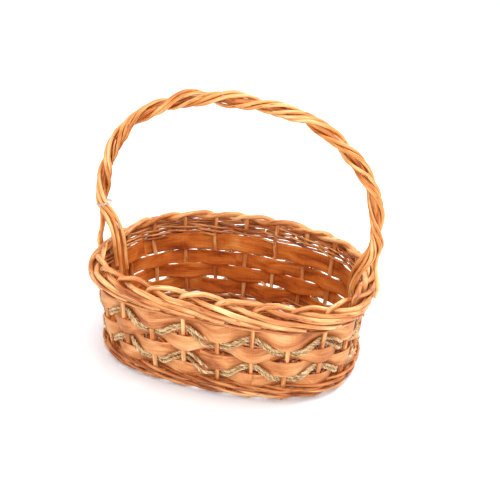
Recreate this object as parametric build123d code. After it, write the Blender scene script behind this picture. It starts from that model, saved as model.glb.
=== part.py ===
from build123d import *
import math
import os

# Oval market basket, woven of willow rods, wood splints and seagrass cord on upright stakes.
# Millimetres. +Z is up, +X runs along the length, and the origin is the middle of the underside.

# ---- Plan and height of the wall ------------------------------------------------------------
half_length_foot = 173.0      # the line of the stakes, at the floor
half_length_rim = 186.0       # the line of the stakes, at the top of the border
half_width_foot = 118.0
half_width_rim = 132.0
squareness = 2.55             # exponent of the oval: 2 is an ellipse, more is squarer
flare_bulge = 0.35            # how much of the flare comes early, low on the wall
wall_height = 150.0
end_dip = 12.0                # the rim is this much lower at the two ends than amidships

# ---- Stakes and border ----------------------------------------------------------------------
stake_count = 22
stake_diameter = 5.0
stake_foot = 2.5              # height of a stake's lower tip
border_diameter = 7.0         # the rod is thicker where it is bent over and laid along the rim
# Where a stake's bent top runs: stake spacings to the right, distance outside the wall, height
border_route = (
    (0.00, 0.0, 141.0),
    (0.05, 0.6, 146.5),
    (0.25, 3.5, 149.0),
    (0.50, 7.5, 148.5),
    (0.80, 10.3, 146.0),
    (1.20, 11.0, 141.5),
    (1.80, 11.0, 136.0),
    (2.40, 11.0, 130.5),
    (2.95, 11.0, 125.5),
)

# ---- Wood splints and seagrass cords --------------------------------------------------------
splint_width = 20.0
splint_thickness = 1.0
splint_count = 4
lowest_splint = 19.5          # height of the lowest splint's lower edge
plain_gap = 1.2               # between two splints with no cord between them
cord_gap = 6.5                # between two splints with a pair of cords between them
splint_outside = 3.9          # the splint's middle, outside a stake
splint_inside = -8.1          # the splint's middle, inside a stake and the cords
cord_diameter = 4.4
cord_spacing = 5.0            # between the middles of the two cords of a pair, up and down
cord_at_stake = -4.95         # the cords pass behind each stake
cord_between = 1.6            # and come forward between two stakes
cord_zigzag = 6.0             # up behind even stakes, down behind odd ones

# ---- Thin willow weavers at the foot and under the border -----------------------------------
foot_weaver_diameter = 5.0
foot_weaver_heights = (4.7, 9.9, 15.1)
rim_weaver_diameter = 4.0
rim_weaver_heights = (118.0, 122.2, 126.4, 135.2, 139.4)
weaver_clearance = 0.2

# ---- Base -----------------------------------------------------------------------------------
base_inset = 8.3              # from the line of the stakes to the edge of the woven base
base_thickness = 9.4
stick_diameter = 4.0
stick_clearance = 0.1
stick_end_gap = 1.0
cross_stick_count = 7
cross_stick_pitch = 30.0
cross_stick_height = 2.5
long_stick_count = 5
long_stick_pitch = 18.0
long_stick_height = 6.9

# ---- Handle ---------------------------------------------------------------------------------
bow_diameter = 9.0
arch_half_span = 195.0        # of the bow's middle line, at its widest
arch_spring = 196.0           # height where the arch starts to curve in
arch_top = 362.0              # height of the bow's middle line at the top
arch_squareness = 2.3
# The bow's leg from its tip inside the wall up to the start of the arch: distance from the
# middle of the basket, and height
leg_route = ((164.5, 48.0), (169.0, 90.0), (173.5, 138.0), (185.0, 170.0))
wrap_diameter = 5.0
wrap_turns = 5.0
wrap_clearance = 0.15
wrap_phases = (0.0, 46.0, 180.0, 226.0, 272.0)   # degrees round the bow, in two bundles
wrap_start = 0.155            # share of the bow's length where the winding starts, at each end
# Where the lower tips of the winding rods lie, at each end of the basket: sideways of the bow,
# distance outside the wall, height
wrap_tips = (
    (-2.5, 18.0, 122.0),
    (5.5, 18.0, 122.0),
    (2.0, -21.0, 100.0),
    (-8.5, -16.5, 96.0),
    (-14.0, -13.5, 112.0),
)
binding_wire_diameter = 1.2

# ---- Detail of the solids -------------------------------------------------------------------
steps_per_stake = 4           # sections of a woven ring, from one stake to the next
rod_sides = 8
rod_step = 6.25               # between two sections of an open rod
plan_steps = 720


def plan_radius(angle, half_length, half_width):
    """Distance from the middle of the oval to its outline, in one direction."""
    along = (abs(math.cos(angle)) / half_length) ** squareness
    across = (abs(math.sin(angle)) / half_width) ** squareness
    return (along + across) ** (-1 / squareness)


def half_axes(height):
    """Half length and half width of the line of the stakes at one height."""
    share = height / wall_height
    share += flare_bulge * share * (1 - share)
    half_length = half_length_foot + (half_length_rim - half_length_foot) * share
    half_width = half_width_foot + (half_width_rim - half_width_foot) * share
    return half_length, half_width


def plan_table():
    """Directions and the distances run round the oval up to them, at half height."""
    half_length, half_width = half_axes(wall_height / 2)
    angles = [2 * math.pi * i / plan_steps for i in range(plan_steps + 1)]
    corners = []
    for angle in angles:
        radius = plan_radius(angle, half_length, half_width)
        corners.append((radius * math.cos(angle), radius * math.sin(angle)))
    run = [0.0]
    for start, end in zip(corners, corners[1:]):
        run.append(run[-1] + math.dist(start, end))
    return angles, [length / run[-1] for length in run], run[-1]


plan_angles, plan_runs, plan_length = plan_table()


def direction(turn):
    """The direction, seen from above, of a share of the way round the oval from +X."""
    turn = turn % 1.0
    low, high = 0, plan_steps
    while high - low > 1:
        middle = (low + high) // 2
        if plan_runs[middle] <= turn:
            low = middle
        else:
            high = middle
    share = (turn - plan_runs[low]) / (plan_runs[high] - plan_runs[low])
    return plan_angles[low] + share * (plan_angles[high] - plan_angles[low])


def wall_point(turn, height, outside=0.0):
    """A point on the wall: share of the way round, height, and distance outside the stakes."""
    angle = direction(turn)
    half_length, half_width = half_axes(height)
    radius = plan_radius(angle, half_length, half_width)
    x = radius * math.cos(angle)
    y = radius * math.sin(angle)
    slope_x = math.copysign((abs(x) / half_length) ** (squareness - 1) / half_length, x)
    slope_y = math.copysign((abs(y) / half_width) ** (squareness - 1) / half_width, y)
    size = math.hypot(slope_x, slope_y)
    dip = end_dip * (max(height, 0) / wall_height) * (x / half_length_rim) ** 2
    return Vector(x + outside * slope_x / size, y + outside * slope_y / size, height - dip)


def rod_section(point, along, side, radius):
    """A regular polygon across a rod, with one corner towards the side given."""
    plane = Plane(origin=point, x_dir=side, z_dir=along)
    corners = []
    for i in range(rod_sides):
        angle = 2 * math.pi * i / rod_sides
        corner = Vector(radius * math.cos(angle), radius * math.sin(angle), 0)
        corners.append(plane.from_local_coords(corner))
    return Wire.make_polygon(corners, close=True)


def splint_section(point, along, up):
    """A flat rectangle across a splint, whose width follows the slope of the wall."""
    out = along.cross(up).normalized()
    plane = Plane(origin=point, x_dir=out, z_dir=along)
    half_thickness = splint_thickness / 2
    half_width = splint_width / 2
    corners = []
    for x, y in ((-1, -1), (1, -1), (1, 1), (-1, 1)):
        corners.append(plane.from_local_coords(Vector(x * half_thickness, y * half_width, 0)))
    return Wire.make_polygon(corners, close=True)


def round_the_ring(points, i):
    """The direction of a closed path at one of its points."""
    return (points[(i + 1) % len(points)] - points[i - 1]).normalized()


def rod(points, start_radius, end_radius=None, swell=(0.0, 1.0)):
    """A rod along a smooth open path. It changes from one radius to the other between the two
    shares of its length in swell."""
    line = Edge.make_spline(points)
    steps = math.ceil(line.length / rod_step)
    side = line.tangent_at(0).cross(Vector(1, 2, 3)).normalized()
    sections = []
    for i in range(steps + 1):
        share = i / steps
        along = line.tangent_at(share)
        side = (side - along * side.dot(along)).normalized()
        grown = min(max((share - swell[0]) / (swell[1] - swell[0]), 0.0), 1.0)
        radius = start_radius + ((end_radius or start_radius) - start_radius) * grown
        sections.append(rod_section(line.position_at(share), along, side, radius))
    return Solid.make_loft(sections)


def closed_ring(sections):
    """A ring through its sections, back to the first one."""
    return Solid(Shell.make_loft([*sections, sections[0]]))


def ring_path(height_at, outside_at):
    """Points all the way round the wall; both functions take stake spacings from the first."""
    points = []
    for step in range(stake_count * steps_per_stake):
        spacings = step / steps_per_stake
        points.append(wall_point(spacings / stake_count, height_at(spacings), outside_at(spacings)))
    return points


def rod_ring(height_at, outside_at, diameter):
    points = ring_path(height_at, outside_at)
    sections = []
    for i, point in enumerate(points):
        along = round_the_ring(points, i)
        side = Vector(0, 0, 1).cross(along).normalized()
        sections.append(rod_section(point, along, side, diameter / 2))
    return closed_ring(sections)


def weaver(height, diameter, phase):
    """A thin rod that passes outside one stake and inside the next."""
    swing = stake_diameter / 2 + diameter / 2 + weaver_clearance
    return rod_ring(
        lambda spacings: height,
        lambda spacings: swing * math.cos(math.pi * (spacings + phase)),
        diameter,
    )


def splint(lower_edge, phase):
    """A wide splint in plain weave: outside the stakes of one parity, inside the others."""
    middle = (splint_outside + splint_inside) / 2
    swing = (splint_outside - splint_inside) / 2
    height = lower_edge + splint_width / 2
    points = ring_path(
        lambda spacings: height,
        lambda spacings: middle + swing * math.cos(math.pi * (spacings + phase)),
    )
    sections = []
    for i, point in enumerate(points):
        turn = i / len(points)
        up = (wall_point(turn, height + 1) - wall_point(turn, height - 1)).normalized()
        sections.append(splint_section(point, round_the_ring(points, i), up))
    return closed_ring(sections)


def seagrass_cord(middle_height, beside):
    """One cord of a pair that zigzags up and down and passes behind every stake."""
    middle = (cord_at_stake + cord_between) / 2
    swing = (cord_at_stake - cord_between) / 2
    return rod_ring(
        lambda spacings: middle_height + beside + cord_zigzag * math.cos(math.pi * spacings),
        lambda spacings: middle + swing * math.cos(2 * math.pi * spacings),
        cord_diameter,
    )


def stake(number):
    """An upright rod whose top is bent to the right and laid along the rim as the border."""
    turn = number / stake_count
    points = [wall_point(turn, height) for height in (stake_foot, 30, 60, 90, 120)]
    for spacings, outside, height in border_route:
        points.append(wall_point(turn + spacings / stake_count, height, outside))
    return rod(points, stake_diameter / 2, border_diameter / 2, swell=(0.5, 0.6))


def base_half_axes():
    half_length, half_width = half_axes(0)
    return half_length - base_inset, half_width - base_inset


def base_reach(across, half_across, half_along):
    """How far the base reaches along one axis, at a distance from the middle along the other."""
    return half_along * (1 - (abs(across) / half_across) ** squareness) ** (1 / squareness)


def stick(reach, x, y, height, lengthwise, radius):
    """A straight round stick through the base."""
    tilt = Rotation(0, 90, 0) if lengthwise else Rotation(90, 0, 0)
    return Pos(x, y, height) * tilt * Cylinder(radius, 2 * reach)


def stick_rows():
    """Reach, x, y, height and whether it runs lengthwise, for each stick of the base."""
    half_length, half_width = base_half_axes()
    rows = {}
    for i in range(long_stick_count):
        y = (i - (long_stick_count - 1) / 2) * long_stick_pitch
        reach = base_reach(y, half_width, half_length)
        rows[f"base_long_stick_{i + 1}"] = (reach, 0, y, long_stick_height, True)
    for i in range(cross_stick_count):
        x = (i - (cross_stick_count - 1) / 2) * cross_stick_pitch
        reach = base_reach(x, half_length, half_width)
        rows[f"base_cross_stick_{i + 1}"] = (reach, x, 0, cross_stick_height, False)
    return rows


def base_weaving():
    """The woven panel of the base: a flat oval with a tunnel for each stick."""
    half_length, half_width = base_half_axes()
    corners = []
    outline_steps = 48
    for i in range(outline_steps):
        angle = 2 * math.pi * i / outline_steps
        radius = plan_radius(angle, half_length, half_width)
        corners.append(Vector(radius * math.cos(angle), radius * math.sin(angle), 0))
    outline = Wire([Edge.make_spline(corners, periodic=True)])
    panel = extrude(Face(outline), base_thickness, dir=(0, 0, 1))
    for reach, x, y, height, lengthwise in stick_rows().values():
        panel -= stick(reach + 20, x, y, height, lengthwise, stick_diameter / 2 + stick_clearance)
    return panel


def bow_points():
    """The middle line of the handle's bow, from its tip at -X over the top to its tip at +X."""
    leg = [Vector(x, 0, z) for x, z in leg_route]
    arch = []
    arch_steps = 32
    for i in range(arch_steps + 1):
        angle = math.pi * i / arch_steps
        c = math.cos(angle)
        x = arch_half_span * math.copysign(abs(c) ** (2 / arch_squareness), c)
        z = arch_spring + (arch_top - arch_spring) * math.sin(angle) ** (2 / arch_squareness)
        arch.append(Vector(-x, 0, z))
    return [Vector(-p.X, 0, p.Z) for p in leg] + arch + leg[::-1]


bow_line = Edge.make_spline(bow_points())


def bow_place(share):
    """Middle of the bow at a share of its length, and the direction away from the arch's inside."""
    point = bow_line.position_at(share)
    along = bow_line.tangent_at(share)
    return point, Vector(0, 1, 0).cross(along).normalized() * -1


def handle_bow():
    return rod(bow_points(), bow_diameter / 2)


def winding_rod(phase, tip):
    """A rod wound round the bow, whose two lower ends lie down beside the border."""
    distance = (bow_diameter + wrap_diameter) / 2 + wrap_clearance
    side = Vector(0, 1, 0)
    steps_per_turn = 10
    steps = round(wrap_turns * steps_per_turn)
    winding = []
    for i in range(steps + 1):
        share = wrap_start + (1 - 2 * wrap_start) * i / steps
        middle, out = bow_place(share)
        angle = math.radians(phase) + 2 * math.pi * i / steps_per_turn
        winding.append(middle + (out * math.cos(angle) + side * math.sin(angle)) * distance)
    sideways, outside, height = tip
    ends = []
    for turn, sign in ((0.5, -1), (0.0, 1)):
        top = wall_point(turn + sign * sideways / plan_length, wall_height + 6, outside)
        foot = wall_point(turn + sign * sideways / plan_length, height, outside)
        ends.append((foot, (foot + top) * 0.5, top))
    points = [*ends[0], *winding, *reversed(ends[1])]
    return rod(points, wrap_diameter / 2)


def binding_wire():
    """A ring of thin wire that ties the winding to the bow, just above the border at -X."""
    share = wrap_start + 0.012
    middle, _ = bow_place(share)
    reach = bow_diameter / 2 + wrap_diameter + wrap_clearance + binding_wire_diameter / 2 + 0.1
    plane = Plane(origin=middle, z_dir=bow_line.tangent_at(share))
    return plane * Torus(reach, binding_wire_diameter / 2)


def splint_edges():
    """Lower edge of each splint, from the lowest; cords lie in every other gap."""
    edges = [lowest_splint]
    for i in range(1, splint_count):
        gap = cord_gap if i % 2 else plain_gap
        edges.append(edges[-1] + splint_width + gap)
    return edges


def all_parts():
    parts = {f"stake_{i + 1:02d}": stake(i) for i in range(stake_count)}
    edges = splint_edges()
    for i, edge in enumerate(edges):
        parts[f"splint_{i + 1}"] = splint(edge, phase=i)
    for name, below in (("lower", edges[0]), ("upper", edges[2])):
        middle = below + splint_width + cord_gap / 2
        parts[f"seagrass_{name}_a"] = seagrass_cord(middle, cord_spacing / 2)
        parts[f"seagrass_{name}_b"] = seagrass_cord(middle, -cord_spacing / 2)
    for i, height in enumerate(foot_weaver_heights):
        parts[f"foot_weaver_{i + 1}"] = weaver(height, foot_weaver_diameter, phase=i)
    for i, height in enumerate(rim_weaver_heights):
        parts[f"rim_weaver_{i + 1}"] = weaver(height, rim_weaver_diameter, phase=i)
    for name, (reach, x, y, height, lengthwise) in stick_rows().items():
        parts[name] = stick(reach - stick_end_gap, x, y, height, lengthwise, stick_diameter / 2)
    parts["base_weaving"] = base_weaving()
    parts["handle_bow"] = handle_bow()
    for i, (phase, tip) in enumerate(zip(wrap_phases, wrap_tips)):
        parts[f"handle_winding_{i + 1}"] = winding_rod(phase, tip)
    parts["handle_binding_wire"] = binding_wire()
    return parts


os.makedirs("parts", exist_ok=True)
for name, piece in all_parts().items():
    export_step(piece, f"parts/{name}.step")
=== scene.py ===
import math

import bpy
import numpy as np
from mathutils import Matrix


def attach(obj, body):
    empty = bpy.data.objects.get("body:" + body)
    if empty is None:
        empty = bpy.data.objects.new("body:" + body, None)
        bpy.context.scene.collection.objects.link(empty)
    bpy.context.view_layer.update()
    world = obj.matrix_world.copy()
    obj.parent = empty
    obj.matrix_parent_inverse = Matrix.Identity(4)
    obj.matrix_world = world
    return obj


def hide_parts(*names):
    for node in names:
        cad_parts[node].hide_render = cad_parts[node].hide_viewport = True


# Oval market basket: willow rods, wood splints and seagrass cord. Lengths are in millimetres
# until a mesh is made, and in metres in Blender.

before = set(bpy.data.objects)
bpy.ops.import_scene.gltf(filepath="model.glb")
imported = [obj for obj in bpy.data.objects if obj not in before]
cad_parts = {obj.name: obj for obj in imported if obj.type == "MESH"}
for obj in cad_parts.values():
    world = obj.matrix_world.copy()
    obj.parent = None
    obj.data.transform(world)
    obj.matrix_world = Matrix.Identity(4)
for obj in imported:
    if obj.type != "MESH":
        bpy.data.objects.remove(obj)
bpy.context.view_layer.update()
rng = np.random.default_rng(11)
MM = 0.001

# ---- Plan and height of the wall ----------------------------------------------------------------
FOOT_AXES = np.array([173.0, 118.0])      # the line of the stakes at the floor
RIM_AXES = np.array([186.0, 132.0])       # and at the top of the border
SQUARENESS = 2.55
FLARE_BULGE = 0.35
WALL_HEIGHT = 150.0
END_DIP = 12.0
STAKES = 22


def half_axes(height):
    share = np.asarray(height, float) / WALL_HEIGHT
    share = share + FLARE_BULGE * share * (1 - share)
    half_length = FOOT_AXES[0] + (RIM_AXES[0] - FOOT_AXES[0]) * share
    half_width = FOOT_AXES[1] + (RIM_AXES[1] - FOOT_AXES[1]) * share
    return half_length, half_width


def plan_radius(angle, half_length, half_width):
    along = (np.abs(np.cos(angle)) / half_length) ** SQUARENESS
    across = (np.abs(np.sin(angle)) / half_width) ** SQUARENESS
    return (along + across) ** (-1 / SQUARENESS)


plan_angles = np.linspace(0, 2 * math.pi, 1441)
plan_radii = plan_radius(plan_angles, *half_axes(WALL_HEIGHT / 2))
plan_runs = np.concatenate([[0], np.cumsum(np.hypot(np.diff(plan_radii * np.cos(plan_angles)),
                                                    np.diff(plan_radii * np.sin(plan_angles))))])
PLAN_LENGTH = plan_runs[-1]
SPACING = PLAN_LENGTH / STAKES


def wall(spacings, height, outside=0.0):
    """Points on the wall: stake spacings round from +X, height, and distance outside the stakes."""
    given = (np.asarray(v, float) for v in (spacings, height, outside))
    spacings, height, outside = np.broadcast_arrays(*given)
    angle = np.interp((spacings / STAKES) % 1.0, plan_runs / PLAN_LENGTH, plan_angles)
    a, b = half_axes(height)
    radius = plan_radius(angle, a, b)
    x, y = radius * np.cos(angle), radius * np.sin(angle)
    nx = np.sign(x) * (np.abs(x) / a) ** (SQUARENESS - 1) / a
    ny = np.sign(y) * (np.abs(y) / b) ** (SQUARENESS - 1) / b
    size = np.hypot(nx, ny)
    dip = END_DIP * np.maximum(height, 0) / WALL_HEIGHT * (x / RIM_AXES[0]) ** 2
    return np.stack([x + outside * nx / size, y + outside * ny / size, height - dip], -1)


# ---- Curves and meshes --------------------------------------------------------------------------
def smooth_path(points, step):
    """A natural cubic spline through the points, sampled about every step."""
    points = np.asarray(points, float)
    gaps = np.maximum(np.linalg.norm(np.diff(points, axis=0), axis=1), 1e-6)
    knots = np.concatenate([[0], np.cumsum(gaps)])
    n = len(points)
    matrix, right = np.eye(n), np.zeros((n, 3))
    for i in range(1, n - 1):
        matrix[i, i - 1:i + 2] = gaps[i - 1], 2 * (gaps[i - 1] + gaps[i]), gaps[i]
        right[i] = 6 * ((points[i + 1] - points[i]) / gaps[i] - (points[i] - points[i - 1]) / gaps[i - 1])
    bend = np.linalg.solve(matrix, right)
    t = np.linspace(0, knots[-1], max(int(knots[-1] / step), 2) + 1)
    i = np.clip(np.searchsorted(knots, t, side="right") - 1, 0, n - 2)
    g = gaps[i][:, None]
    a = (knots[i + 1] - t)[:, None]
    b = (t - knots[i])[:, None]
    return (bend[i] * a ** 3 + bend[i + 1] * b ** 3) / (6 * g) + \
        (points[i] / g - bend[i] * g / 6) * a + (points[i + 1] / g - bend[i + 1] * g / 6) * b


def run_of(path):
    return np.concatenate([[0], np.cumsum(np.linalg.norm(np.diff(path, axis=0), axis=1))])


def wander(run, wavelength):
    """A slow irregular wave along a rod, between about -1 and 1."""
    wave = np.zeros(len(run))
    for stretch, weight in ((1.0, 0.5), (0.43, 0.3), (0.19, 0.2)):
        length = wavelength * stretch * rng.uniform(0.8, 1.25)
        wave += weight * np.sin(2 * math.pi * run / length + rng.uniform(0, 6.3))
    return wave


def carried_sides(path, closed):
    """Tangents, and two directions across the path that turn as little as possible."""
    ahead = np.roll(path, -1, 0) - np.roll(path, 1, 0)
    if not closed:
        ahead[0] = path[1] - path[0]
        ahead[-1] = path[-1] - path[-2]
    ahead /= np.linalg.norm(ahead, axis=1)[:, None]
    side = np.cross(ahead[0], (0.31, 0.52, 0.79))
    side /= np.linalg.norm(side)
    sides = [side]
    for t in ahead[1:]:
        side = side - t * side.dot(t)
        side /= np.linalg.norm(side)
        sides.append(side)
    sides = np.array(sides)
    if closed:
        last = sides[-1] - ahead[0] * sides[-1].dot(ahead[0])
        last /= np.linalg.norm(last)
        off = math.atan2(np.cross(last, sides[0]).dot(ahead[0]), last.dot(sides[0]))
        turn = off * np.arange(len(path)) / len(path)
        other = np.cross(ahead, sides)
        sides = sides * np.cos(turn)[:, None] + other * np.sin(turn)[:, None]
    return ahead, sides, np.cross(ahead, sides)


class Mesh:
    """Collects parts of one piece: vertices, faces, and what the materials read at each vertex."""

    def __init__(self):
        self.points, self.faces, self.grain, self.tone, self.mark = [], [], [], [], []
        self.count = 0

    def add(self, points, faces, grain, tone, mark):
        self.points.append(points)
        self.faces += (np.asarray(faces) + self.count).tolist() if len(faces) else []
        self.grain.append(grain)
        self.tone.append(np.broadcast_to(tone, len(points)))
        self.mark.append(np.broadcast_to(mark, len(points)))
        self.count += len(points)

    def cap(self, points, middle, grain, tone, mark):
        """A fan that closes an end, on vertices of its own, so that its edge stays sharp."""
        n = len(points)
        fan = [[i, (i + 1) % n, n] for i in range(n)]
        self.add(np.vstack([points, middle]), fan, np.vstack([grain, grain.mean(0)]), tone, mark)

    def make(self, name, material, replaces):
        mesh = bpy.data.meshes.new(name)
        mesh.from_pydata((np.vstack(self.points) * MM).tolist(), [], self.faces)
        mesh.polygons.foreach_set("use_smooth", [True] * len(mesh.polygons))
        for label, kind, values in (("grain", "FLOAT_VECTOR", np.vstack(self.grain)),
                                    ("tone", "FLOAT", np.concatenate(self.tone)),
                                    ("mark", "FLOAT", np.concatenate(self.mark))):
            attribute = mesh.attributes.new(label, kind, "POINT")
            attribute.data.foreach_set("vector" if kind == "FLOAT_VECTOR" else "value",
                                       np.ascontiguousarray(values, np.float32).ravel())
        mesh.materials.append(material)
        mesh.update()
        piece = bpy.data.objects.new(name, mesh)
        bpy.context.scene.collection.objects.link(piece)
        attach(piece, "root")
        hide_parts(*replaces)


BUD_PITCH = 75
BUD_HALF_LENGTH = 3.5
TIP_LENGTH = 25


def sweep(mesh, path, radius, sides=10, closed=False, tone=None, swell=0.05, flat=0.06, tip=1.0):
    """Adds a rod along a path. Its thickness is a little uneven, with a low swelling at each bud."""
    run = run_of(path)
    radius = np.broadcast_to(np.asarray(radius, float), len(path)).copy()
    if swell:
        first_bud = rng.uniform(10, 60)
        bud_shift = rng.uniform(-25, 25, 400)[0]
        for bud in np.arange(first_bud, run[-1], BUD_PITCH) + bud_shift:
            radius *= 1 + swell * np.exp(-((run - bud) / BUD_HALF_LENGTH) ** 2)
        if not closed:
            radius *= 1 + 0.7 * swell * wander(run, 70)
    if tip != 1.0:
        radius *= 1 - (1 - tip) * np.clip((run - run[-1] + TIP_LENGTH) / TIP_LENGTH, 0, 1) ** 2
    _, one, two = carried_sides(path, closed)
    angle = 2 * math.pi * np.arange(sides) / sides
    lean = rng.uniform(0, math.pi)
    reach = radius[:, None] * (1 + flat * np.cos(2 * (angle - lean)))[None, :]
    cos, sin = np.cos(angle)[None, :, None], np.sin(angle)[None, :, None]
    points = path[:, None, :] + (one[:, None, :] * cos + two[:, None, :] * sin) * reach[:, :, None]
    rows = len(path)
    shift = rng.uniform(-500, 500, 3)
    along = np.broadcast_to(run[:, None], reach.shape)
    around = np.stack([along, reach * np.cos(angle), reach * np.sin(angle)], -1)
    grain = around + shift
    i, j = np.meshgrid(np.arange(rows if closed else rows - 1), np.arange(sides), indexing="ij")
    k, l = (i + 1) % rows, (j + 1) % sides
    faces = np.stack([i * sides + j, i * sides + l, k * sides + l, k * sides + j], -1).reshape(-1, 4)
    tone = rng.uniform(0, 1) if tone is None else tone
    mesh.add(points.reshape(-1, 3), faces, grain.reshape(-1, 3), tone, 0.0)
    if not closed:
        mesh.cap(points[0][::-1], path[0], grain[0][::-1], tone, 1.0)
        mesh.cap(points[-1], path[-1], grain[-1], tone, 1.0)


# ---- Materials ----------------------------------------------------------------------------------
def colour(r, g, b):
    """An sRGB colour, 0 to 255, as a linear one."""
    linear = [(c / 255 / 12.92) if c <= 10 else ((c / 255 + 0.055) / 1.055) ** 2.4 for c in (r, g, b)]
    return (*linear, 1.0)


class Shader:
    def __init__(self, name, roughness, specular=0.5, **constants):
        self.material = bpy.data.materials.new(name)
        self.material.use_nodes = True
        self.tree = self.material.node_tree
        self.shader = self.tree.nodes["Principled BSDF"]
        self.shader.inputs["Roughness"].default_value = roughness
        self.shader.inputs["Specular IOR Level"].default_value = specular
        for label, value in constants.items():
            self.shader.inputs[label.replace("_", " ")].default_value = value

    def node(self, kind, inputs=None, **settings):
        made = self.tree.nodes.new(kind)
        for label, value in settings.items():
            setattr(made, label, value)
        for label, value in (inputs or {}).items():
            socket = made.inputs[label]
            if isinstance(value, bpy.types.NodeSocket):
                self.tree.links.new(value, socket)
            else:
                socket.default_value = value
        return made

    def read(self, label):
        return self.node("ShaderNodeAttribute", attribute_name=label)

    def stretched(self, scale):
        grain = self.read("grain").outputs["Vector"]
        return self.node("ShaderNodeVectorMath", {0: grain, 1: scale}, operation="MULTIPLY").outputs["Vector"]

    def noise(self, scale, detail=3.0, roughness=0.55, distortion=0.0):
        inputs = {"Vector": self.stretched(scale), "Scale": 1.0, "Detail": detail,
                  "Roughness": roughness, "Distortion": distortion}
        return self.node("ShaderNodeTexNoise", inputs).outputs["Fac"]

    def maths(self, operation, *values, clamp=False):
        made = self.node("ShaderNodeMath", dict(enumerate(values)), operation=operation)
        made.use_clamp = clamp
        return made.outputs[0]

    def steps(self, value, low, high, to_low=0.0, to_high=1.0):
        made = self.node("ShaderNodeMapRange", {"Value": value, "From Min": low, "From Max": high,
                                                "To Min": to_low, "To Max": to_high})
        return made.outputs["Result"]

    def ramp(self, value, stops):
        made = self.node("ShaderNodeValToRGB", {"Fac": value})
        elements = made.color_ramp.elements
        while len(elements) < len(stops):
            elements.new(0.5)
        for element, (place, shade) in zip(elements, stops):
            element.position = place
            element.color = shade
        return made.outputs["Color"]

    def mix(self, share, one, two):
        made = self.node("ShaderNodeMix", data_type="RGBA")
        for socket, value in ((made.inputs[0], share), (made.inputs[6], one), (made.inputs[7], two)):
            if isinstance(value, bpy.types.NodeSocket):
                self.tree.links.new(value, socket)
            else:
                socket.default_value = value
        return made.outputs[2]

    def finish(self, base, height, bump, depth=0.0003):
        self.tree.links.new(base, self.shader.inputs["Base Color"])
        made = self.node("ShaderNodeBump", {"Height": height, "Strength": bump, "Distance": depth})
        self.tree.links.new(made.outputs["Normal"], self.shader.inputs["Normal"])
        return self.material

    def roughness(self, value):
        self.tree.links.new(value, self.shader.inputs["Roughness"])


def willow(name, stops, roughness=0.42):
    """Peeled, oiled willow: fibres along the rod, darker bruises, small dark bud scars."""
    s = Shader(name, roughness, 0.45, Coat_Weight=0.12, Coat_Roughness=0.3)
    fibre = s.noise((0.035, 1.1, 1.1), 5.0, 0.6)
    patch = s.noise((0.022, 0.1, 0.1), 2.0, 0.5, 0.3)
    tone = s.read("tone").outputs["Fac"]
    value = s.maths("ADD", s.steps(patch, 0.3, 0.7, -0.32, 0.3), s.steps(fibre, 0.3, 0.7, -0.3, 0.26))
    value = s.maths("ADD", value, s.steps(tone, 0, 1, 0.28, 0.7), clamp=True)
    base = s.ramp(value, stops)
    inputs = {"Vector": s.stretched((0.045, 0.3, 0.3)), "Scale": 1.0, "Randomness": 1.0}
    spots = s.node("ShaderNodeTexVoronoi", inputs, voronoi_dimensions="3D").outputs["Distance"]
    base = s.mix(s.steps(spots, 0.11, 0.2, 0.85, 0.0), base, colour(92, 42, 16))
    cut = s.read("mark").outputs["Fac"]
    base = s.mix(s.maths("MULTIPLY", cut, 0.75), base, colour(228, 178, 116))
    s.roughness(s.steps(fibre, 0.2, 0.8, roughness - 0.08, roughness + 0.14))
    return s.finish(base, s.maths("ADD", fibre, s.noise((0.16, 0.5, 0.5), 3.0)), 0.35, 0.00035)


rod_stops = [(0.0, colour(112, 52, 20)), (0.28, colour(176, 102, 50)), (0.6, colour(212, 150, 94)),
             (1.0, colour(238, 200, 150))]
weaver_stops = [(0.0, colour(104, 48, 20)), (0.3, colour(170, 96, 46)), (0.65, colour(208, 144, 88)),
                (1.0, colour(234, 194, 142))]
base_stops = [(0.0, colour(112, 52, 18)), (0.35, colour(168, 92, 38)), (0.7, colour(206, 134, 66)),
              (1.0, colour(226, 168, 100))]
handle_stops = [(0.0, colour(122, 56, 18)), (0.28, colour(188, 110, 48)), (0.6, colour(216, 152, 90)),
                (1.0, colour(240, 200, 146))]


def splint_wood():
    """Thin sliced wood: paler and pinker on the outer face; the inner face is a darker, deeper orange copy,
    painted shade for the basket's shaded inside.
    """
    s = Shader("splint_wood", 0.5, 0.4)
    fibre = s.noise((0.02, 1.3, 0.6), 6.0, 0.62)
    patch = s.noise((0.02, 0.06, 0.05), 3.0, 0.55, 0.6)
    ripple = s.noise((0.9, 0.05, 0.1), 2.0, 0.5)
    inner = s.read("mark").outputs["Fac"]
    tone = s.read("tone").outputs["Fac"]
    value = s.maths("ADD", s.steps(patch, 0.3, 0.7, -0.36, 0.32), s.steps(fibre, 0.3, 0.7, -0.28, 0.24))
    value = s.maths("ADD", value, s.steps(ripple, 0.3, 0.7, -0.05, 0.05))
    value = s.maths("ADD", value, s.steps(tone, 0, 1, 0.35, 0.65), clamp=True)
    outside = s.ramp(value, [(0.0, colour(132, 68, 34)), (0.3, colour(180, 112, 64)),
                             (0.6, colour(210, 148, 96)), (1.0, colour(230, 180, 132))])
    # Painted shade: the inner face's colours are a darker, deeper orange copy of the outer face's.
    inside = s.ramp(value, [(0.0, colour(122, 58, 18)), (0.3, colour(182, 98, 38)),
                            (0.65, colour(210, 130, 60)), (1.0, colour(230, 172, 108))])
    base = s.mix(inner, outside, inside)
    s.roughness(s.steps(fibre, 0.2, 0.8, 0.42, 0.62))
    return s.finish(base, s.maths("ADD", fibre, s.maths("MULTIPLY", ripple, 0.4)), 0.3, 0.0003)


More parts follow.
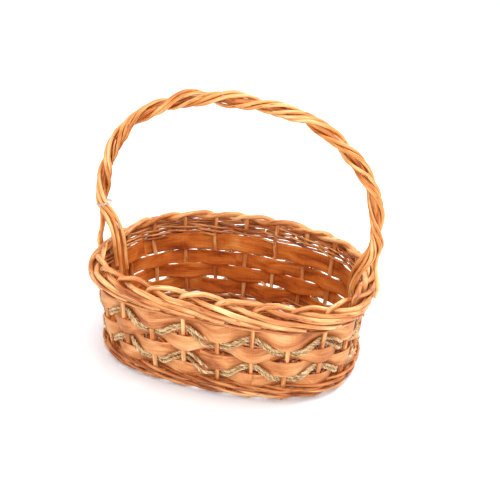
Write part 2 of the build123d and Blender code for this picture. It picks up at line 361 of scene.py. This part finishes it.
def seagrass():
    """Twisted dry seagrass: pale olive tan blades that vary in tone, with dark stripes between them painted
    as crease shade.
    """
    s = Shader("seagrass_fibre", 0.72, 0.3, Sheen_Weight=0.15, Sheen_Roughness=0.5)
    blades = s.noise((0.09, 1.7, 1.7), 4.0, 0.6)
    patch = s.noise((0.05, 0.2, 0.2), 2.0)
    tone = s.read("tone").outputs["Fac"]
    value = s.maths("ADD", s.steps(blades, 0.32, 0.68, -0.5, 0.46), s.steps(patch, 0.3, 0.7, -0.2, 0.2))
    value = s.maths("ADD", value, s.steps(tone, 0, 1, 0.45, 0.65), clamp=True)
    # Painted shade: the ramp's dark end turns the stripes between the blades into dark creases.
    base = s.ramp(value, [(0.0, colour(78, 48, 24)), (0.28, colour(150, 114, 74)),
                          (0.6, colour(206, 174, 130)), (1.0, colour(236, 216, 182))])
    # Painted shade: darkens to dark brown wherever the mark attribute is set, for shade in the cord's
    # creases.
    crease_shade = s.read("mark").outputs["Fac"]
    base = s.mix(s.maths("MULTIPLY", crease_shade, 0.8), base, colour(74, 48, 22))
    return s.finish(base, blades, 0.8, 0.0006)


def pale_wire():
    s = Shader("pale_wire", 0.35, 0.5, Metallic=0.55)
    drawn = s.noise((0.4, 4.0, 4.0), 3.0)
    base = s.ramp(drawn, [(0.2, colour(196, 180, 158)), (0.8, colour(236, 228, 214))])
    return s.finish(base, drawn, 0.2, 0.0001)


ROD = willow("willow_rod", rod_stops)
WEAVER = willow("willow_weaver", weaver_stops)
BASE = willow("willow_base", base_stops, 0.55)
HANDLE = willow("willow_handle", handle_stops, 0.4)
SPLINT = splint_wood()
SEAGRASS = seagrass()
WIRE = pale_wire()

# ---- Stakes, bent down to the right as the border ---------------------------------------------------
STAKE_RADIUS = 3.0
BORDER_RADIUS = 3.6
STAKE_KNOTS = (2.5, 30, 60, 90, 118)        # heights of the points each stake passes through
THICKENS_FOR = 25                           # above the last of them, to the border's thickness
# Behind the next stake, then in front of three more and tucked in: spacings, distance outside, height
BORDER_ROUTE = (
    (0.0, 0.0, 139.0), (0.06, -0.2, 143.6), (0.22, -1.2, 147.2), (0.48, -3.8, 148.6), (0.78, -6.2, 147.4),
    (1.05, -6.4, 144.4), (1.3, -3.8, 141.4), (1.55, 1.0, 140.2), (1.8, 5.4, 140.0), (2.05, 8.2, 139.2),
    (2.5, 10.3, 136.4), (3.1, 11.0, 131.6), (3.7, 11.0, 127.0), (4.1, 10.2, 123.8), (4.35, 8.6, 122.0),
)

for number in range(STAKES):
    sway = rng.normal(0, 0.012, 6)
    bulge = rng.normal(0, 0.25, 6)
    points = [wall(number + sway[i], height, bulge[i]) for i, height in enumerate(STAKE_KNOTS)]
    lift, reach, slide = rng.normal(0, 0.6), rng.normal(0, 0.5), rng.normal(0, 0.07)
    for i, (spacings, outside, height) in enumerate(BORDER_ROUTE):
        loose = min(i / 3, 1.0)
        along = number + spacings + loose * slide + rng.normal(0, 0.02) * loose
        raised = height + loose * (lift + rng.normal(0, 0.5))
        pushed = outside + loose * (reach + rng.normal(0, 0.35))
        points.append(wall(along, raised, pushed))
    path = smooth_path(points, 2.2)
    run = run_of(path)
    share = run / run[-1]
    thick = BORDER_RADIUS * rng.uniform(0.9, 1.07)
    grown = np.clip((run - STAKE_KNOTS[-1]) / THICKENS_FOR, 0, 1)
    grown = grown * grown * (3 - 2 * grown)
    radius = STAKE_RADIUS + (thick - STAKE_RADIUS) * grown
    radius = radius * (1 - 0.22 * np.clip((share - 0.7) / 0.3, 0, 1))
    part = Mesh()
    sweep(part, path, radius, sides=14, tone=rng.uniform(0.45, 1.0), tip=0.8)
    part.make(f"willow_stake_{number + 1:02d}", ROD, [f"stake_{number + 1:02d}"])

# ---- Wood splints -----------------------------------------------------------------------------------
# Lower and upper edge where the splint is outside a stake, between two stakes, and inside a stake
SPLINT_EDGES = (
    ((19.2, 43.0), (19.9, 41.2), (19.6, 42.8)),
    ((41.4, 65.4), (42.4, 64.0), (42.4, 67.8)),
    ((60.0, 84.6), (65.0, 86.0), (65.2, 89.0)),
    ((83.6, 111.0), (88.6, 114.5), (90.0, 118.0)),
)
SPLINT_THICKNESS = 1.1
SPLINT_MIDDLE = -2.1
SPLINT_SWING = 6.0
SPLINT_JOINT = (17.2, 15.6, 6.3, 9.4)       # where each splint's two ends overlap, in stake spacings
SPLINT_LAP = 0.9
SPLINT_STEPS = 16                           # per stake spacing
SPLINT_CUP = 0.5
GRAIN_HALF_WIDTH = 11.5
INNER_GRAIN = 25.0                          # the inner face reads the grain this far from the outer
ACROSS = np.array([-1.0, -0.94, -0.7, -0.35, 0.0, 0.35, 0.7, 0.94, 1.0])
ROUND = np.array([0.35, 0.85, 1.0, 1.0, 1.0, 1.0, 1.0, 0.85, 0.35])


def between(outer, middle, inner, wave):
    """A value that goes from outer to inner through middle as wave goes from 1 through 0 to -1."""
    return middle + ((outer + inner) / 2 - middle) * wave ** 2 + (outer - inner) / 2 * wave


for number, (outer, middle, inner) in enumerate(SPLINT_EDGES):
    samples = np.arange(int((STAKES + SPLINT_LAP) * SPLINT_STEPS) + 1)
    place = SPLINT_JOINT[number] + samples / SPLINT_STEPS
    wave = np.cos(math.pi * (place + number))
    run = place * SPACING
    low = between(outer[0], middle[0], inner[0], wave) + 0.45 * wander(run, 90)
    high = between(outer[1], middle[1], inner[1], wave) + 0.45 * wander(run, 75)
    lap = np.clip((place - place[0]) / SPLINT_LAP, 0, 1) - np.clip((place[-1] - place) / SPLINT_LAP, 0, 1)
    lift = 0.65 * lap + 0.35 * wander(run, 60)
    out = SPLINT_MIDDLE + SPLINT_SWING * wave + lift
    tilt = 0.5 * wander(run, 110)
    rows = []
    half = SPLINT_THICKNESS / 2
    for face, order in ((1, ACROSS), (-1, ACROSS[::-1])):
        cup = -SPLINT_CUP * order ** 2
        height = low[:, None] + (high - low)[:, None] * (order[None, :] + 1) / 2
        outside = out[:, None] + face * half * ROUND[None, :] + cup[None, :] + tilt[:, None] * order[None, :]
        rows.append(wall(np.broadcast_to(place[:, None], height.shape), height, outside))
    points = np.concatenate(rows, 1)
    n, m = points.shape[:2]
    across = np.concatenate([ACROSS, ACROSS[::-1]])
    shift = rng.uniform(-300, 300)
    face_shift = np.r_[np.zeros(len(ACROSS)), np.full(len(ACROSS), INNER_GRAIN)]
    grain = np.stack([np.broadcast_to(run[:, None] + shift, (n, m)),
                      np.broadcast_to(across * GRAIN_HALF_WIDTH, (n, m)) + 40 * number,
                      np.broadcast_to(face_shift, (n, m))], -1)
    i, j = np.meshgrid(np.arange(n - 1), np.arange(m), indexing="ij")
    k, l = i + 1, (j + 1) % m
    faces = np.stack([i * m + j, k * m + j, k * m + l, i * m + l], -1).reshape(-1, 4)
    # Marks the inner face, which the splint material paints darker as painted shade.
    inside = np.broadcast_to(np.r_[np.zeros(len(ACROSS)), np.ones(len(ACROSS))], (n, m)).reshape(-1)
    shade = np.repeat(0.5 + 0.5 * wander(run, 260), m)
    part = Mesh()
    part.add(points.reshape(-1, 3), faces, grain.reshape(-1, 3), shade, inside)
    part.cap(points[0], points[0].mean(0), grain[0], 0.3, 0.3)
    part.cap(points[-1][::-1], points[-1].mean(0), grain[-1], 0.3, 0.3)
    part.make(f"wood_splint_{number + 1}", SPLINT, [f"splint_{number + 1}"])

# ---- Seagrass cords ---------------------------------------------------------------------------------
CORD_AT_STAKE = -5.1
CORD_BETWEEN = 2.6
STRAND_RADIUS = 1.42
STRAND_REACH = 1.05
TWIST_PITCH = 9.6
PLIES = 2
CORD_APART = 2.5                            # of each cord's middle from the middle of the pair
CORD_SAMPLE = 1.15
# Middle height behind even and odd stakes
CORD_COURSES = {"lower": (50.5, 33.5), "upper": (94.0, 77.0)}
# Stretches where the two cords of a pair lie apart: course, place, half length, extra distance
CORD_GAPS = (
    ("upper", 16.75, 0.35, 3.0), ("lower", 16.4, 0.6, 3.6), ("upper", 20.45, 0.4, 3.0),
    ("lower", 5.4, 0.5, 3.0), ("upper", 9.5, 0.4, 2.6), ("lower", 12.6, 0.35, 2.4),
)


def cord_path(course, side, place):
    even, odd = CORD_COURSES[course]
    wave = np.cos(math.pi * place)
    wave = np.sign(wave) * np.abs(wave) ** 0.75
    apart = CORD_APART + np.zeros(len(place))
    for name, middle, half, extra in CORD_GAPS:
        if name == course:
            apart += extra * np.exp(-(((place - middle) / half) ** 2))
    squeeze = 1 - 0.1 * np.cos(2 * math.pi * place)
    drift = 0.7 * np.sin(2 * math.pi * (3 * place / STAKES + (0.2 if course == "upper" else 0.6)))
    height = (even + odd) / 2 + (even - odd) / 2 * wave + side * apart * squeeze + drift
    swing = (CORD_AT_STAKE - CORD_BETWEEN) / 2
    outside = (CORD_AT_STAKE + CORD_BETWEEN) / 2 + swing * np.cos(2 * math.pi * place)
    return wall(place, height, outside)


def twisted(mesh, path):
    """Plies laid round a closed path as a cord."""
    run = run_of(path)
    total = run[-1] + np.linalg.norm(path[0] - path[-1])
    turns = round(total / TWIST_PITCH)
    _, one, two = carried_sides(path, True)
    for ply in range(PLIES):
        angle = 2 * math.pi * (turns * run / total + ply / PLIES)
        uneven = STRAND_REACH * (1 + 0.12 * np.sin(2 * math.pi * run / 37 + ply))
        centre = path + (one * np.cos(angle)[:, None] + two * np.sin(angle)[:, None]) * uneven[:, None]
        thickness = STRAND_RADIUS * (1 + 0.06 * np.sin(2 * math.pi * run / 23 + 2 * ply))
        sweep(mesh, centre, thickness, sides=8, closed=True, tone=rng.uniform(0.2, 0.9), swell=0, flat=0.1)


for course in CORD_COURSES:
    for letter, side in (("a", 1), ("b", -1)):
        place = np.linspace(0, STAKES, 4000, endpoint=False)
        rough = cord_path(course, side, place)
        run = run_of(rough)
        steps = int(run[-1] / CORD_SAMPLE)
        even_place = np.interp(np.linspace(0, run[-1], steps, endpoint=False), run, place)
        part = Mesh()
        twisted(part, cord_path(course, side, even_place))
        part.make(f"seagrass_cord_{course}_{letter}", SEAGRASS, [f"seagrass_{course}_{letter}"])


# ---- Thin weavers: three rods, each over two stakes and behind the third ----------------------------
WALE_SECOND = 0.17                          # share of the second wave in a rod's way in and out
WALE_PIECES = 3                             # each rod is pieced from this many lengths, butted


def wale(name, material, radius, low, pitch, slant, rounds, start, replaced):
    near = STAKE_RADIUS + radius
    behind = 1 + WALE_SECOND                # the wave at the stake it passes behind; minus half at the others
    swing = 2 * near / (1.5 * behind)
    middle = behind * swing - near
    for rod in range(3):
        place = start + rod + np.linspace(0, STAKES * rounds, int(STAKES * rounds * 15))
        phase = 2 * math.pi * (place - start - rod) / 3
        outside = middle - swing * (np.cos(phase) + WALE_SECOND * np.cos(2 * phase))
        climb = low + pitch * (place - start) / STAKES
        height = climb + slant * np.sin(phase)
        run = place * SPACING
        height = height + 0.35 * wander(run, 85)
        outside = outside + 0.3 * wander(run, 60)
        part = Mesh()
        cuts = np.linspace(0, len(place) - 1, WALE_PIECES + 1).astype(int)
        for a, b in zip(cuts[:-1], cuts[1:]):
            path = smooth_path(wall(place, height, outside)[a:b + 1:2], 2.4)
            share = np.linspace(0, 1, len(path))
            sweep(part, path, radius * (1.06 - 0.16 * share), sides=10, tone=rng.uniform(0.2, 1.0))
        part.make(f"{name}_{rod + 1}", material, replaced[rod])


wale("foot_wale", WEAVER, 2.3, 4.7, 9.3, 2.7, 1.96, 4.0,
     [["foot_weaver_1"], ["foot_weaver_2"], ["foot_weaver_3"]])
wale("rim_wale", WEAVER, 1.85, 112.4, 6.0, 1.9, 2.96, 5.0,
     [["rim_weaver_1"], ["rim_weaver_2"], ["rim_weaver_3"]])

# Two plain rods above them, which pass behind the crossed stakes only
for number, (height, start, crossed) in enumerate(((129.4, 2.5, (4, 13, 20)), (133.0, 7.5, (2, 9, 17)))):
    place = np.linspace(start, start + STAKES + 0.6, 360)
    run = place * SPACING
    outside = 5.0 + 0.3 * wander(run, 90)
    for stake in crossed:
        outside = outside - 10.0 * np.exp(-(((place - start) % STAKES - stake) / 0.42) ** 4)
    part = Mesh()
    path = smooth_path(wall(place, height + 0.5 * wander(run, 120), outside), 2.4)
    sweep(part, path, 1.6 - 0.2 * np.linspace(0, 1, len(path)), sides=10, tone=0.4)
    part.make(f"rim_rod_{number + 1}", WEAVER, [f"rim_weaver_{number + 4}"])

# ---- Base -------------------------------------------------------------------------------------------
BASE_AXES = FOOT_AXES - 8.3
STICK_HEIGHT = 4.7
STICK_RADIUS = 1.85
STICK_OVERHANG = 3.0                        # of the sticks past the outline of the base
CROSS_PITCH, LONG_PITCH = 30.0, 18.0
cross_at = [CROSS_PITCH * (i - 3) for i in range(7)]
long_at = [LONG_PITCH * (i - 2) for i in range(5)]


def reach_at(across, half_across, half_along):
    return half_along * (1 - (abs(across) / half_across) ** SQUARENESS) ** (1 / SQUARENESS)


for label, lines, half_across, half_along in (("cross", cross_at, BASE_AXES[0], BASE_AXES[1]),
                                              ("long", long_at, BASE_AXES[1], BASE_AXES[0])):
    for number, across in enumerate(lines):
        reach = reach_at(across, half_across, half_along) + STICK_OVERHANG
        ends = np.linspace(-reach, reach, 9)
        wobble = across + 0.5 * np.sin(ends / 31 + number)
        flat_points = np.stack([wobble, ends] if label == "cross" else [ends, wobble], -1)
        path = smooth_path(np.column_stack([flat_points, np.full(9, STICK_HEIGHT)]), 3.0)
        part = Mesh()
        sweep(part, path, STICK_RADIUS, sides=10, tone=rng.uniform(0.2, 0.8))
        part.make(f"base_{label}_rod_{number + 1}", BASE, [f"base_{label}_stick_{number + 1}"])

INNER_RINGS = (2.8, 6.8, 10.8, 14.7, 21.4, 25.2, 29.0, 32.7)       # half widths, clear of the long sticks
FIRST_OUTER_RING, RING_PITCH, RING_OVERHANG = 39.4, 3.42, 2.0
RING_INSET = 1.6
RING_ROD, RING_RISE = 1.42, 3.05            # radius, and height over and under the sticks
CROSSING_REACH = 5                          # a ring crosses a stick within this of the stick's middle line
CROSSING_GAP = 6                            # crossings nearer than this count as one
ring_sides = [*INNER_RINGS, *np.arange(FIRST_OUTER_RING, BASE_AXES[1] + RING_OVERHANG, RING_PITCH)]
part = Mesh()
for number, half_width in enumerate(ring_sides):
    half_length = BASE_AXES[0] - RING_INSET - (BASE_AXES[1] - RING_INSET - half_width) * 0.98
    angle = np.linspace(0, 2 * math.pi, 721)[:-1]
    radius = plan_radius(angle, half_length, half_width)
    x, y = radius * np.cos(angle), radius * np.sin(angle)
    run = np.concatenate([[0], np.cumsum(np.hypot(np.diff(x), np.diff(y)))])
    total = run[-1] + math.hypot(x[0] - x[-1], y[0] - y[-1])
    crossings = []
    for values, lines in ((x, cross_at), (y, long_at)):
        for line in lines:
            away = values - line
            passes = (away * np.roll(away, -1) <= 0) & (np.abs(away) < CROSSING_REACH)
            crossings += run[passes].tolist()
    crossings = np.array(sorted(set(np.round(crossings, 3))))
    merged = [crossings[0]]
    for value in crossings[1:]:
        if value - merged[-1] > CROSSING_GAP:
            merged.append(value)
    if len(merged) % 2:
        merged = merged[:-1]
    count = len(merged)
    ticks = np.interp(run, np.r_[merged[-1] - total, merged, merged[0] + total], np.arange(-1, count + 1))
    height = STICK_HEIGHT + RING_RISE * np.cos(math.pi * (ticks + number))
    keep = max(int(total / 2.6), 24)
    even = np.linspace(0, total, keep, endpoint=False)
    closed_run = np.r_[run, total]
    ring = np.stack([np.interp(even, closed_run, np.r_[v, v[0]]) for v in (x, y, height)], -1)
    sweep(part, ring, RING_ROD + 0.08 * rng.uniform(-1, 1), sides=7, closed=True, tone=rng.uniform(0.1, 0.9))
part.make("base_weaving_rods", BASE, ["base_weaving"])

# ---- Handle -----------------------------------------------------------------------------------------
ARCH_HALF_SPAN = 195.0
ARCH_SPRING = 196.0
ARCH_TOP = 362.0
ARCH_SQUARENESS = 2.3
ARCH_LEAN = 0.035
LEG = ((163.0, 48.0), (167.0, 90.0), (170.5, 130.0), (174.0, 147.0), (184.0, 168.0))
BOW_RADIUS = 4.7
WRAP_RADIUS = 2.7
WRAP_TURNS = 5.0
WRAP_START = 0.155


def lean_at(height):
    return ARCH_LEAN * np.maximum(height - WALL_HEIGHT, 0.0)


leg = [(x, lean_at(z), z) for x, z in LEG]
arch_angle = np.linspace(0, math.pi, 33)
arch_cos = np.cos(arch_angle)
arch_height = ARCH_SPRING + (ARCH_TOP - ARCH_SPRING) * np.abs(np.sin(arch_angle)) ** (2 / ARCH_SQUARENESS)
arch = np.stack([-ARCH_HALF_SPAN * np.sign(arch_cos) * np.abs(arch_cos) ** (2 / ARCH_SQUARENESS),
                 lean_at(arch_height), arch_height], -1)
bow_points = [(-x, y, z) for x, y, z in leg] + arch.tolist() + leg[::-1]
bow = smooth_path(bow_points, 1.5)
bow_run = run_of(bow)
BOW_LENGTH = bow_run[-1]
part = Mesh()
coarse = smooth_path(bow_points, 2.5)
sweep(part, coarse, BOW_RADIUS, sides=16, tone=0.05, swell=0.03)
part.make("handle_bow_rod", HANDLE, ["handle_bow"])

bow_ahead = np.gradient(bow, axis=0)
bow_ahead /= np.linalg.norm(bow_ahead, axis=1)[:, None]
bow_out = -np.cross((0.0, 1.0, 0.0), bow_ahead)


def bow_at(share):
    """Middle of the bow at shares of its length, and the direction away from the arch's inside."""
    at = share * BOW_LENGTH
    middle = np.stack([np.interp(at, bow_run, bow[:, i]) for i in range(3)], -1)
    out = np.stack([np.interp(at, bow_run, bow_out[:, i]) for i in range(3)], -1)
    return middle, out / np.linalg.norm(out, axis=1)[:, None]


# For each winding rod: phase in degrees, thickness, tone, where it hangs loose (share of the bow, how
# far), and its route down from the bow at -X and at +X: sideways of the bow, distance outside the
# wall, height
WINDINGS = (
    (0.0, 1.0, 0.95, (), ((-1, 14, 158), (-2.5, 17, 144), (-3, 16, 131)),
     ((1, 14, 158), (-2.5, 17, 144), (-3, 16, 131))),
    (46.0, 0.92, 0.75, (0.44, 5.5), ((4, 14, 158), (5, 17, 144), (6, 16, 131)),
     ((4, 14, 158), (5.5, 17, 144), (6, 16, 131))),
    (180.0, 1.02, 0.85, (), ((1, -21, 156), (2, -21, 128), (2, -21, 100)),
     ((1, -21, 156), (2, -21, 128), (2, -21, 100))),
    (226.0, 0.9, 0.65, (0.5, 3.0), ((-8, -17, 150), (-8.5, -17, 125), (-8.5, -16.5, 96)),
     ((-8, -17, 150), (-8.5, -17, 125), (-8.5, -16.5, 96))),
    (272.0, 0.96, 1.0, (0.7, 2.0), ((-13, -12, 158), (-14, -13, 138), (-14, -13.5, 112)),
     ((-13, -12, 158), (-14, -13, 138), (-14, -13.5, 112))),
)
# For the windings with a thinner short rod beside them: turn round the bow from the winding, in
# radians, and steps up the bow
SHORT_RODS = {2: (0.62, 9), 4: (0.7, 12)}
STEPS_PER_TURN = 12
SHORT_ROD_RADIUS = 1.7
SHORT_ROD_SINKS = 0.7                       # nearer the bow than the winding
SHORT_ROD_FOOT = np.array([0.0, 3.2, -1.0])  # from the winding's foot
LOOSE_HALF_LENGTH = 0.035                   # share of the bow
SIDEWAYS = np.array([0.0, 1.0, 0.0])
wrap_distance = BOW_RADIUS + WRAP_RADIUS * 0.95
for number, (phase, thick, tone, loose, left, right) in enumerate(WINDINGS):
    short = SHORT_RODS.get(number)
    steps = int(WRAP_TURNS * STEPS_PER_TURN)
    share = WRAP_START + (1 - 2 * WRAP_START) * np.arange(steps + 1) / steps
    middle, out = bow_at(share)
    angle = math.radians(phase) + 2 * math.pi * np.arange(steps + 1) / STEPS_PER_TURN
    angle = angle + 0.16 * wander(share * BOW_LENGTH, 170)
    distance = wrap_distance + 0.25 + 0.45 * wander(share * BOW_LENGTH, 90)
    if loose:
        distance = distance + loose[1] * np.exp(-(((share - loose[0]) / LOOSE_HALF_LENGTH) ** 2))
    turns = middle + (out * np.cos(angle)[:, None] + SIDEWAYS * np.sin(angle)[:, None]) * distance[:, None]
    feet = []
    for stake, sign, route in ((STAKES / 2, -1, left), (0.0, 1, right)):
        feet.append([wall(stake + sign * aside / SPACING, height, outside)
                     for aside, outside, height in route])
    path = smooth_path([*feet[0][::-1], *turns, *feet[1]], 2.2)
    if short:
        # A thinner rod beside it, at each end, which stops a short way up the bow
        turned, reach_up = short
        around = angle + turned
        close = wrap_distance - SHORT_ROD_SINKS
        spent = middle + (out * np.cos(around)[:, None] + SIDEWAYS * np.sin(around)[:, None]) * close
        left_foot, right_foot = ([foot + SHORT_ROD_FOOT for foot in ends] for ends in feet)
        extra = (smooth_path([*left_foot[::-1], *spent[:reach_up]], 2.2),
                 smooth_path([*spent[-reach_up:], *right_foot], 2.2))
    radius = WRAP_RADIUS * thick * (1.04 - 0.1 * np.linspace(0, 1, len(path)))
    part = Mesh()
    sweep(part, path, radius, sides=12, tone=tone, tip=0.75)
    if short:
        for line in extra:
            sweep(part, line, SHORT_ROD_RADIUS, sides=10, tone=tone - 0.25, tip=0.6)
    part.make(f"handle_winding_rod_{number + 1}", HANDLE, [f"handle_winding_{number + 1}"])

WIRE_RADIUS, WIRE_TURNS, WIRE_PITCH = 0.45, 3, 1.1
share = WRAP_START + 0.012
middle, out = bow_at(np.array([share]))
ahead = np.cross(out[0], (0.0, 1.0, 0.0))
turn = np.linspace(0, 2 * math.pi * WIRE_TURNS, 110)
reach = BOW_RADIUS + 2 * WRAP_RADIUS + 0.9 + 0.3 * np.sin(turn * 0.77)
climb = WIRE_PITCH * (turn / (2 * math.pi) - WIRE_TURNS / 2) + 0.8 * np.sin(turn)
ring = middle + (out * np.cos(turn)[:, None] + SIDEWAYS * np.sin(turn)[:, None]) * reach[:, None]
ring = ring + ahead * climb[:, None]
part = Mesh()
sweep(part, ring, WIRE_RADIUS, sides=6, swell=0)
part.make("handle_wire", WIRE, ["handle_binding_wire"])

# ---- Floor, light and camera ------------------------------------------------------------------------
floor_mesh = bpy.data.meshes.new("floor")
floor_mesh.from_pydata([(-6, -6, 0), (6, -6, 0), (6, 6, 0), (-6, 6, 0)], [], [(0, 1, 2, 3)])
floor = bpy.data.objects.new("floor", floor_mesh)
bpy.context.scene.collection.objects.link(floor)
paper = Shader("white_floor", 0.9, 0.1)
tint = paper.node("ShaderNodeTexNoise", {"Scale": 3.0}).outputs["Fac"]
paper.tree.links.new(paper.ramp(tint, [(0.0, (0.86, 0.88, 0.92, 1)), (1.0, (0.9, 0.91, 0.94, 1))]),
                     paper.shader.inputs["Base Color"])
floor_mesh.materials.append(paper.material)

world = bpy.data.worlds.new("studio")
world.use_nodes = True
bpy.context.scene.world = world
world.node_tree.nodes["Background"].inputs["Color"].default_value = (1.0, 0.995, 0.985, 1)
world.node_tree.nodes["Background"].inputs["Strength"].default_value = 0.9


def lamp(name, place, target, size, power, tint):
    data = bpy.data.lights.new(name, "AREA")
    data.shape = "DISK"
    data.size = size
    data.energy = power
    data.color = tint
    made = bpy.data.objects.new(name, data)
    bpy.context.scene.collection.objects.link(made)
    made.location = place
    direction = np.array(target) - np.array(place)
    back = -direction / np.linalg.norm(direction)
    right = np.cross((0, 0, 1.0), back)
    right /= np.linalg.norm(right)
    up = np.cross(back, right)
    made.rotation_mode = "QUATERNION"
    made.rotation_quaternion = Matrix(np.stack([right, up, back], 1).tolist()).to_quaternion()


lamp("key", (0.9, 0.6, 1.5), (0, 0, 0.12), 0.9, 16, (1.0, 0.97, 0.92))
lamp("front", (0.5, -1.5, 1.1), (0, 0, 0.12), 1.0, 12, (1.0, 0.98, 0.95))
lamp("top", (0.0, 0.1, 1.9), (0, 0, 0.1), 1.2, 8, (1.0, 0.99, 0.97))

view = bpy.context.scene.view_settings
view.view_transform = "Standard"
view.look = "Medium High Contrast"
view.exposure = 0.0

AZIMUTH, ELEVATION, ROLL = 0.3012, 0.4527, 0.0374
DISTANCE, ASIDE, AIM_HEIGHT, FOCAL = 1311.5, 23.0, 153.93, 68.914
back = np.array([math.sin(AZIMUTH) * math.cos(ELEVATION), -math.cos(AZIMUTH) * math.cos(ELEVATION),
                 math.sin(ELEVATION)])
right = np.array([math.cos(AZIMUTH), math.sin(AZIMUTH), 0.0])
up = np.cross(back, right)
place = (np.array([0.0, 0.0, AIM_HEIGHT]) + right * ASIDE + back * DISTANCE) * MM
right, up = right * math.cos(ROLL) + up * math.sin(ROLL), up * math.cos(ROLL) - right * math.sin(ROLL)
lens = bpy.data.cameras.new("camera")
lens.sensor_width = 36
lens.lens = FOCAL
lens.clip_end = 50
camera = bpy.data.objects.new("camera", lens)
bpy.context.scene.collection.objects.link(camera)
camera.rotation_mode = "QUATERNION"
camera.location = place
camera.rotation_quaternion = Matrix(np.stack([right, up, back], 1).tolist()).to_quaternion()
bpy.context.scene.camera = camera
